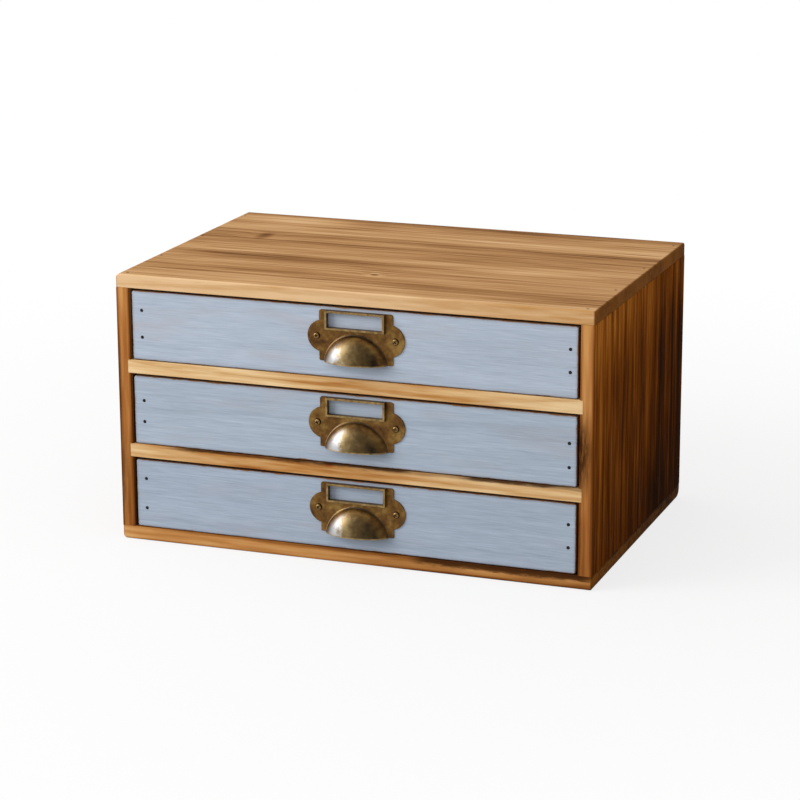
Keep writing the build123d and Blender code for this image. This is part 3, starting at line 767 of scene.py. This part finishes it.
# %% Jig bench
class Jig(Bench):
    """A Geometry Nodes tree with named inputs."""

    def __init__(self, name):
        super().__init__(bpy.data.node_groups.new(name, "GeometryNodeTree"))
        self.tree.interface.new_socket("Geometry", in_out="INPUT", socket_type="NodeSocketGeometry")
        self.tree.interface.new_socket("Geometry", in_out="OUTPUT", socket_type="NodeSocketGeometry")
        self.sockets = self.tree.nodes.new("NodeGroupInput")

    def size(self, name, kind="NodeSocketFloat"):
        """A named input of the jig."""
        self.tree.interface.new_socket(name, in_out="INPUT", socket_type=kind)
        return self.sockets.outputs[name]

    def shifted(self, mesh, height, turn=(0, 0, 0)):
        inputs = {"Geometry": mesh, "Translation": self.join(0.0, 0.0, height), "Rotation": turn}
        return self.add("GeometryNodeTransform", inputs).outputs[0]

    def round_bar(self, width, length, top, sides):
        """A closed bar whose upper face is at height top."""
        inputs = {"Vertices": sides, "Radius": self.times(width, 0.5), "Depth": length}
        bar = self.add("GeometryNodeMeshCylinder", inputs)
        return self.shifted(bar.outputs["Mesh"], self.push(top, length, -0.5))

    def spike(self, width, length, top, sides):
        """A closed point that hangs down from height top."""
        inputs = {"Vertices": sides, "Radius Top": 0.0, "Radius Bottom": self.times(width, 0.5),
                  "Depth": length}
        cone = self.add("GeometryNodeMeshCone", inputs)
        return self.shifted(cone.outputs["Mesh"], top, (math.pi, 0, 0))

    def joined(self, *meshes):
        made = self.tree.nodes.new("GeometryNodeJoinGeometry")
        for mesh in meshes:
            self.tree.links.new(mesh, made.inputs[0])
        return made.outputs[0]

    def set_out(self, one, seed, finish):
        """One fastening on each point, facing its own way, as real mesh with its finish."""
        named = self.add("GeometryNodeInputNamedAttribute", {"Name": "facing"}, data_type="FLOAT_VECTOR")
        aimed = self.add("FunctionNodeAlignRotationToVector", {"Vector": named.outputs[0]}, axis="Z")
        range_and_seed = {2: 0.0, 3: math.tau, "Seed": seed}
        chance = self.add("FunctionNodeRandomValue", range_and_seed, data_type="FLOAT").outputs[1]
        twist = self.add("FunctionNodeAxisAngleToRotation", {"Axis": (0, 0, 1), "Angle": chance})
        turned = self.add("FunctionNodeRotateRotation", {0: aimed.outputs[0], 1: twist.outputs[0]},
                          rotation_space="LOCAL").outputs[0]
        spots = self.sockets.outputs["Geometry"]
        inputs = {"Points": spots, "Instance": one, "Rotation": turned}
        points = self.add("GeometryNodeInstanceOnPoints", inputs).outputs[0]
        real = self.add("GeometryNodeRealizeInstances", {"Geometry": points}).outputs[0]
        done = self.add("GeometryNodeSetMaterial", {"Geometry": real, "Material": finish}).outputs[0]
        out = self.tree.nodes.new("NodeGroupOutput")
        self.tree.links.new(done, out.inputs[0])

    def make(self, name, spots, sizes):
        """The plain mesh that the jig makes of spots, a list of (place, facing), in metres."""
        mesh = bpy.data.meshes.new(name + "_spots")
        mesh.from_pydata([place for place, _ in spots], [], [])
        facing = mesh.attributes.new("facing", "FLOAT_VECTOR", "POINT")
        facing.data.foreach_set("vector", [v for _, direction in spots for v in direction])
        carrier = put_in_scene(name + "_carrier", mesh)
        modifier = carrier.modifiers.new("jig", "NODES")
        modifier.node_group = self.tree
        for socket in self.tree.interface.items_tree:
            if socket.name in sizes:
                modifier[socket.identifier] = sizes[socket.name]
        evaluated = carrier.evaluated_get(bpy.context.evaluated_depsgraph_get())
        plain = bpy.data.meshes.new_from_object(evaluated)
        plain.name = name
        plain.shade_smooth()
        plain.set_sharp_from_angle(angle=math.radians(32))
        bpy.data.objects.remove(carrier)
        piece = put_in_scene(name, plain)
        print(name, len(spots), "pieces,", len(plain.polygons), "faces")
        return piece


print("jig bench ready")

# %% [markdown]
# ### Wire nails
# A nail is a thin bar with a point and a flat head whose rim is a little bevelled. The steel is dark and
# dull. The heads are punched just below the wood.

# %% Nail jig and dark steel
HEAD_SIDES = 20
WIRE_SIDES = 10


def nail_jig():
    jig = Jig("driven_nails")
    names = ("Head Width", "Head Thickness", "Shank Width", "Length")
    head, thick, shank, length = [jig.size(name) for name in names]
    seed = jig.size("Seed", "NodeSocketInt")
    finish = jig.size("Finish", "NodeSocketMaterial")
    bevel_foot = jig.times(thick, -0.35)
    inputs = {"Vertices": HEAD_SIDES, "Radius Top": jig.times(head, 0.40),
              "Radius Bottom": jig.times(head, 0.5), "Depth": jig.times(thick, 0.35)}
    bevel = jig.shifted(jig.add("GeometryNodeMeshCone", inputs).outputs["Mesh"], bevel_foot)
    rim = jig.round_bar(head, jig.times(thick, 0.65), bevel_foot, HEAD_SIDES)
    wire_length = jig.sum("SUBTRACT", jig.sum("SUBTRACT", length, shank), thick)
    wire = jig.round_bar(shank, wire_length, jig.times(thick, -1.0), WIRE_SIDES)
    point = jig.spike(shank, shank, jig.sum("SUBTRACT", shank, length), WIRE_SIDES)
    jig.set_out(jig.joined(bevel, rim, wire, point), seed, finish)
    return jig


def dark_steel_finish():
    steel = Finish("dark_steel")
    mottle = steel.noise(steel.place, (900, 900, 900), 5.0, detail=3)
    tone = steel.tint(mottle, [(0.35, colour(16, 14, 14)), (0.65, colour(40, 33, 28))])
    return steel.surface(tone, steel.step(mottle, 0.3, 0.7, 0.5, 0.75), mottle, 0.00005, Metallic=0.6)


nails = nail_jig()
NAIL = {"Head Width": 0.0025, "Head Thickness": 0.0006, "Shank Width": 0.0016, "Length": 0.028,
        "Finish": dark_steel_finish()}
SHORT_NAIL = {**NAIL, "Length": 0.022}
PIN = {**NAIL, "Head Width": 0.0022, "Shank Width": 0.0012, "Length": 0.011}
print("a nail is", NAIL["Length"] * 1000, "mm long and a pin", PIN["Length"] * 1000)

# %% [markdown]
# The case is nailed through the top and the bottom board into both sides. Small pins hold the back.
# Left and right are nailed alike, so one list of places serves both.

# %% Nail the case
NAIL_SET = 0.0002
CASE_BACK = 0.12
CASE_NAILS = [(0.173, -0.1135), (0.175, -0.05204), (0.175, 0.02259), (0.175, 0.106)]
SIDE_PIN_HEIGHTS = (0.02, 0.07333, 0.12667, 0.18)
SHELF_MIDDLES = (0.06833, 0.13167)


def drive(places, facing):
    """Places on a face and the way it faces, with the heads punched a little below it."""
    return [(tuple(p - NAIL_SET * f for p, f in zip(place, facing)), facing) for place in places]


case_spots = [(side * x, y) for side in (-1, 1) for x, y in CASE_NAILS]
pin_spots = [(side * 0.1725, CASE_BACK, z) for side in (-1, 1) for z in SIDE_PIN_HEIGHTS]
pin_spots += [(x, CASE_BACK, z) for z in SHELF_MIDDLES for x in (-0.15, 0.0, 0.15)]
top_spots = drive([(x, y, TOP_FACE) for x, y in case_spots], (0, 0, 1))
bottom_spots = drive([(x, y, 0.0) for x, y in case_spots], (0, 0, -1))
back_spots = drive(pin_spots, (0, 1, 0))

case_fastenings = {
    "top_nails": nails.make("top_nail_heads", top_spots, {**NAIL, "Seed": 1}),
    "bottom_nails": nails.make("bottom_nail_heads", bottom_spots, {**NAIL, "Seed": 2}),
    "back_pins": nails.make("back_pin_heads", back_spots, {**PIN, "Seed": 3}),
}
for node, piece in case_fastenings.items():
    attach(piece, "case")
    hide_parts(node)

# %% [markdown]
# ### Round-head screws
# Each pull is held by two small screws. The head is a flattened ball cut off flat below, with a cross
# pressed into it. The jig squashes a ball, lifts everything below the seat up to it, and cuts two
# crossed bars out of it. The cross is dark with old polish, and the crown is rubbed bright.

# %% Screw jig and screw brass
SCREW_SIDES = 12


def screw_dome(jig, head, height):
    """A ball, squashed to the head's width and height, whose lower half is lifted to the seat."""
    ball = jig.add("GeometryNodeMeshUVSphere", {"Segments": 32, "Rings": 20, "Radius": 1.0})
    half = jig.times(head, 0.5)
    inputs = {"Geometry": ball.outputs["Mesh"], "Scale": jig.join(half, half, height)}
    dome = jig.add("GeometryNodeTransform", inputs).outputs[0]
    x, y, z = jig.split(jig.add("GeometryNodeInputPosition", {}).outputs[0])
    seated = jig.join(x, y, jig.sum("MAXIMUM", z, 0.0))
    dome = jig.add("GeometryNodeSetPosition", {"Geometry": dome, "Position": seated}).outputs[0]
    return jig.add("GeometryNodeMergeByDistance", {"Geometry": dome, "Distance": 0.000001}).outputs[0]


def screw_jig():
    jig = Jig("pull_screws")
    names = ("Head Width", "Head Height", "Shank Width", "Length")
    head, height, shank, length = [jig.size(name) for name in names]
    cross, blade, deep = [jig.size(name) for name in ("Cross Length", "Cross Width", "Cross Depth")]
    seed = jig.size("Seed", "NodeSocketInt")
    finish = jig.size("Finish", "NodeSocketMaterial")
    cut = jig.tree.nodes.new("GeometryNodeMeshBoolean")
    cut.operation = "DIFFERENCE"
    cut.solver = "EXACT"
    jig.tree.links.new(screw_dome(jig, head, height), cut.inputs["Mesh 1"])
    for turn in (0.0, math.pi / 2):
        bar = jig.add("GeometryNodeMeshCube", {"Size": jig.join(cross, blade, jig.times(deep, 2.0))})
        bar = jig.shifted(bar.outputs["Mesh"], height, (0, 0, turn))
        jig.tree.links.new(bar, cut.inputs["Mesh 2"])
    wire = jig.round_bar(shank, jig.times(length, 0.8), 0.0, SCREW_SIDES)
    point = jig.spike(shank, jig.times(length, 0.2), jig.times(length, -0.8), SCREW_SIDES)
    jig.set_out(jig.joined(cut.outputs["Mesh"], wire, point), seed, finish)
    return jig


def screw_brass_finish(seat):
    """Brass that is dark down to seat, the Y of the plate's face, and bright on the crown."""
    brass = Finish("screw_brass")
    mottle = brass.noise(brass.place, (500, 500, 500), 7.0, detail=3)
    crown = brass.step(brass.split(brass.place)[1], seat - 0.0007, seat - 0.0013)
    bright = brass.tint(mottle, [(0.3, colour(108, 80, 46)), (0.7, colour(156, 126, 80))])
    tone = brass.mix(crown, colour(44, 31, 18), bright)
    return brass.surface(tone, brass.step(mottle, 0.3, 0.7, 0.3, 0.5), mottle, 0.00004, Metallic=1.0)


screws = screw_jig()
SCREW = {"Head Width": 0.0052, "Head Height": 0.0016, "Shank Width": 0.0024, "Length": 0.0085,
         "Cross Length": 0.0028, "Cross Width": 0.0007, "Cross Depth": 0.0009,
         "Finish": screw_brass_finish(PLATE_FACE)}
print("a screw is", SCREW["Length"] * 1000, "mm long, its head", SCREW["Head Width"] * 1000, "mm wide")

# %% [markdown]
# Each drawer has four nails through its front, two through each side into the back, three pins up
# through the floor, and the pull's two screws. The front nails were set by eye, so no two pairs match.

# %% Nail and screw the drawers
# Heights of the left and the right pair of front nails, as shares of the front's height.
FRONT_NAILS = {"bottom": ((0.72, 0.28), (0.70, 0.37)),
               "middle": ((0.64, 0.33), (0.61, 0.27)),
               "top": ((0.72, 0.33), (0.68, 0.36))}
LEFT_INSET = 0.0077
RIGHT_INSET = 0.0056
DRAWER_SIDE = 0.1681
DRAWER_BACK = 0.110
BACK_NAIL_RISES = (0.01725, 0.0342)
FLOOR_RISE = 0.0042
FLOOR_PINS = (-0.1381, 0.0, 0.1381)
PULL_MIDDLE = 0.0056
SCREW_REACH = 0.02965
SCREW_RISE = 0.030133


def drawer_spots(name, base):
    """Where a drawer's nails, pins and screws go, each with the way it faces. base is its foot."""
    low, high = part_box(name + "_drawer_front")
    left, right = FRONT_NAILS[name]
    front = [(low.x + LEFT_INSET, low.y, low.z + share * (high.z - low.z)) for share in left]
    front += [(high.x - RIGHT_INSET, low.y, low.z + share * (high.z - low.z)) for share in right]
    back = []
    for side in (-1, 1):
        rows = [(side * DRAWER_SIDE, DRAWER_BACK, base + rise) for rise in BACK_NAIL_RISES]
        back += drive(rows, (side, 0, 0))
    pins = [(x, DRAWER_BACK, base + FLOOR_RISE) for x in FLOOR_PINS]
    seats = [(PULL_MIDDLE + side * SCREW_REACH, PLATE_FACE, base + SCREW_RISE) for side in (-1, 1)]
    pull = [(seat, (0, -1, 0)) for seat in seats]
    return drive(front, (0, -1, 0)), back, drive(pins, (0, 0, -1)), pull


for count, name in enumerate(DRAWERS):
    front, back, pins, pull = drawer_spots(name, CASE_FLOOR + count * DRAWER_PITCH)
    made = {
        "front_nails": nails.make(name + "_front_nail_heads", front, {**NAIL, "Seed": 10 + count}),
        "back_nails": nails.make(name + "_back_nail_heads", back, {**SHORT_NAIL, "Seed": 20 + count}),
        "floor_pins": nails.make(name + "_floor_pin_heads", pins, {**PIN, "Seed": 30 + count}),
        "pull_screws": screws.make(name + "_round_head_screws", pull, {**SCREW, "Seed": 40 + count}),
    }
    for part, piece in made.items():
        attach(piece, name + "_drawer")
        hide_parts(name + "_drawer_" + part)
